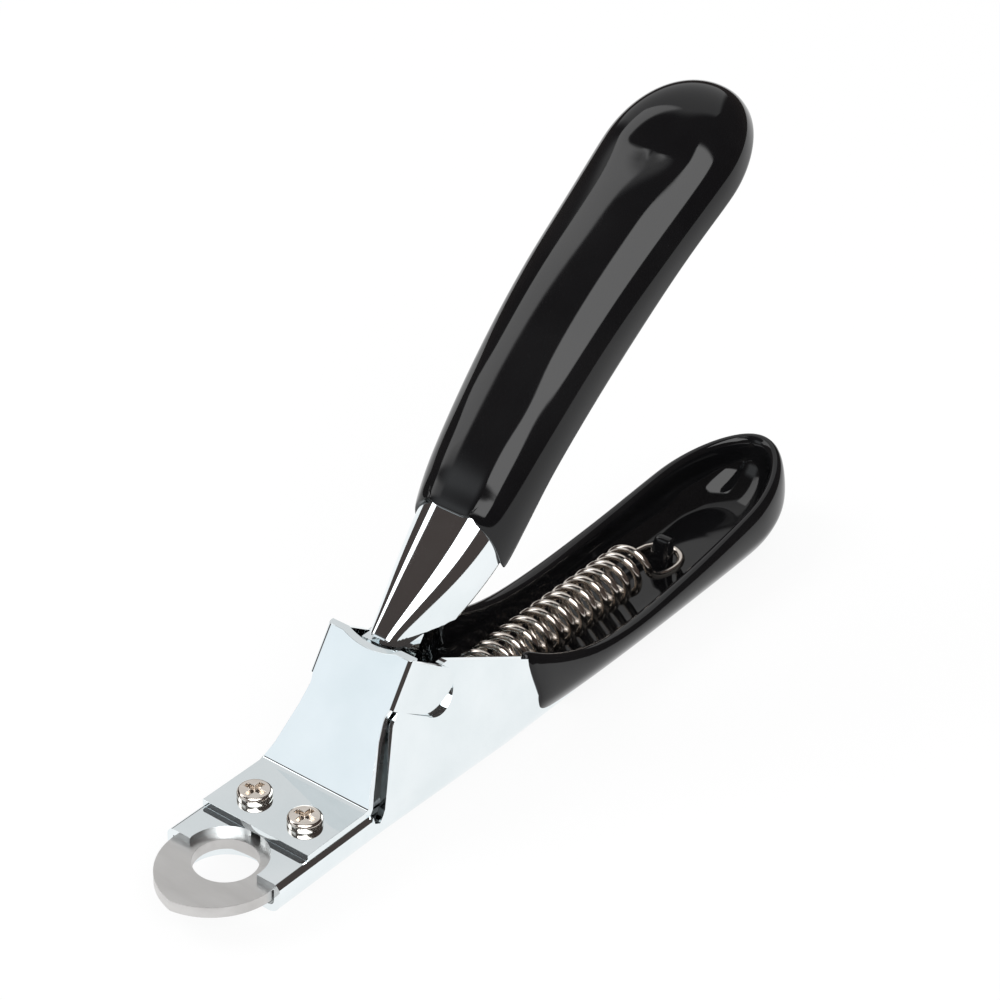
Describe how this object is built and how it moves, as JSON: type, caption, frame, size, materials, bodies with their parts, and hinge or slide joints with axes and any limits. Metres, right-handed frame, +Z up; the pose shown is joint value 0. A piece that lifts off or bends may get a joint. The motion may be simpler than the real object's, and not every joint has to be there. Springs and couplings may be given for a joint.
{
  "type": "guillotine pet nail trimmer",
  "caption": "Guillotine pet nail trimmer: steel channel handles with dipped vinyl grips, a pointed ring for the claw, and a spring-returned lever that drives a sliding blade.",
  "frame": {"origin": "on the mirror plane, at the axis of the nail hole, level with the flat underside of the nose", "axes": "+X forward out of the nose, +Z up from the flat underside, +Y to the side by the right-hand rule; lever open at rest"},
  "size_m": [0.132, 0.0208, 0.081],
  "materials": {
    "chrome_plate": "bright plated",
    "black_vinyl": "glossy dipped vinyl",
    "nickel": "nickel plated",
    "satin_steel": "ground satin"
  },
  "bodies": {
    "frame": {"lower_handle": "chrome_plate", "lower_grip": "black_vinyl", "fulcrum_bridge": "chrome_plate", "bridge_screw_left": "nickel", "bridge_screw_right": "nickel", "guard_ring": "satin_steel", "return_spring": "nickel"},
    "lever": {"upper_handle": "chrome_plate", "upper_grip": "black_vinyl"},
    "blade": {"blade_slider": "satin_steel", "cutting_blade": "satin_steel"}
  },
  "joints": [
    {"name": "lever_pivot", "type": "hinge", "parent": "frame", "child": "lever", "pos_m": [-0.0302, 0, 0.0178], "axis": [0, -1, 0], "range_deg": [0, 38], "stiffness_Nm_per_rad": 0.05, "springref_deg": -28.65},
    {"name": "blade_slide", "type": "slide", "parent": "frame", "child": "blade", "axis": [1, 0, 0], "range_m": [0, 0.0095], "deforming": ["return_spring"]}
  ],
  "couplings": [
    {"joint": "blade_slide", "follows": "lever_pivot", "m_per_rad": 0.01394}
  ]
}
